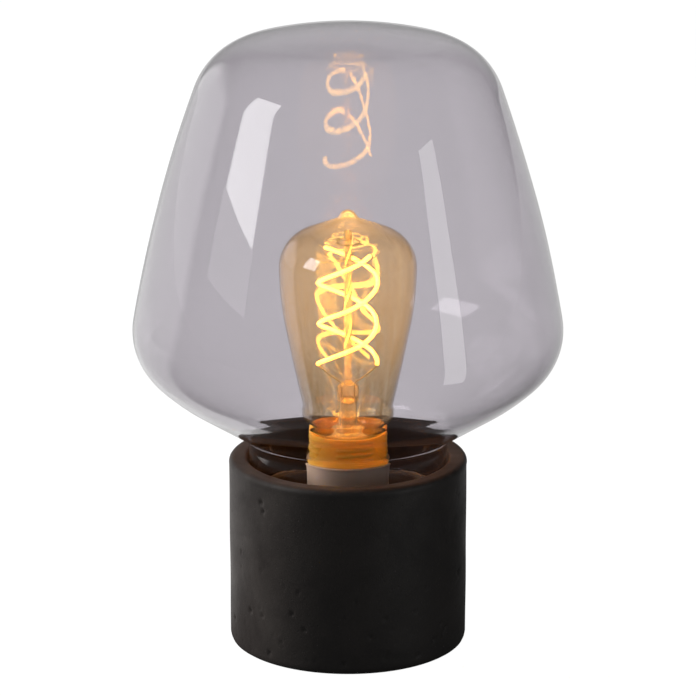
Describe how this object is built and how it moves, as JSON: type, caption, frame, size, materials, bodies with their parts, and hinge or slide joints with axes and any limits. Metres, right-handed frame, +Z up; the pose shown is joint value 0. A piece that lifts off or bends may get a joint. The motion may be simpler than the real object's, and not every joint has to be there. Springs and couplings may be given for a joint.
{
  "type": "table lamp",
  "caption": "Low table lamp: closed smoked-glass shade standing by its neck in a cast concrete cup, over a screw-in spiral-filament bulb.",
  "frame": {"origin": "centre of the felt pad's underside", "axes": "+Z up along the lamp's axis, -Y to the front, cable inlet at the back (+Y)"},
  "size_m": [0.2004, 0.2004, 0.2937],
  "materials": {
    "concrete": "cast, matte, fine pores",
    "felt": "pressed felt",
    "rubber": "matte",
    "silicone": "translucent, soft",
    "smoked_glass": "polished, blown",
    "zinc_steel": "bright zinc plate",
    "brass": "bare, dull",
    "holder_white": "moulded thermoplastic, satin",
    "insert_ceramic": "glazed",
    "nickel_plate": "nickel plate",
    "bulb_brass": "drawn shell, lightly tarnished",
    "black_glass": "black insulating glass",
    "solder": "dull solder",
    "amber_glass": "amber lustre",
    "stem_glass": "clear, fire-polished",
    "led_strand": "phosphor-coated silicone strand, lit",
    "board_laminate": "glass-epoxy laminate"
  },
  "bodies": {
    "base": {"concrete_base": "concrete", "base_pad": "felt", "cable_bushing": "rubber", "shade_seat_ring": "silicone", "nipple": "zinc_steel", "floor_washer": "zinc_steel", "floor_nut": "zinc_steel", "upper_washer": "zinc_steel", "upper_nut": "zinc_steel", "spacer_tube": "brass", "holder_cap": "holder_white", "cap_lock_screw": "zinc_steel", "holder_sleeve": "holder_white", "contact_block": "insert_ceramic", "centre_contact": "brass", "side_contact": "brass", "terminal_clamps": "brass", "terminal_screws": "zinc_steel", "screw_shell": "nickel_plate"},
    "shade": {"glass_shade": "smoked_glass"},
    "bulb_contact": {"bulb_contact": "solder"},
    "bulb": {"bulb_glass": "amber_glass", "bulb_cap": "bulb_brass", "bulb_insulator": "black_glass", "bulb_stem": "stem_glass", "filament": "led_strand", "lead_wires": "nickel_plate", "filament_support": "nickel_plate", "driver_board": "board_laminate"}
  },
  "joints": [
    {"name": "shade_lift", "type": "slide", "parent": "base", "child": "shade", "axis": [0, 0, 1], "range_m": [0, 0.15]},
    {"name": "bulb_lift", "type": "slide", "parent": "base", "child": "bulb_contact", "axis": [0, 0, 1], "range_m": [0, 0.0182]},
    {"name": "bulb_turn", "type": "hinge", "parent": "bulb_contact", "child": "bulb", "pos_m": [0, 0, 0.08], "axis": [0, 0, 1], "range_deg": [0, 1800]}
  ],
  "couplings": [
    {"joint": "bulb_lift", "follows": "bulb_turn", "m_per_rad": 0.00057757}
  ]
}
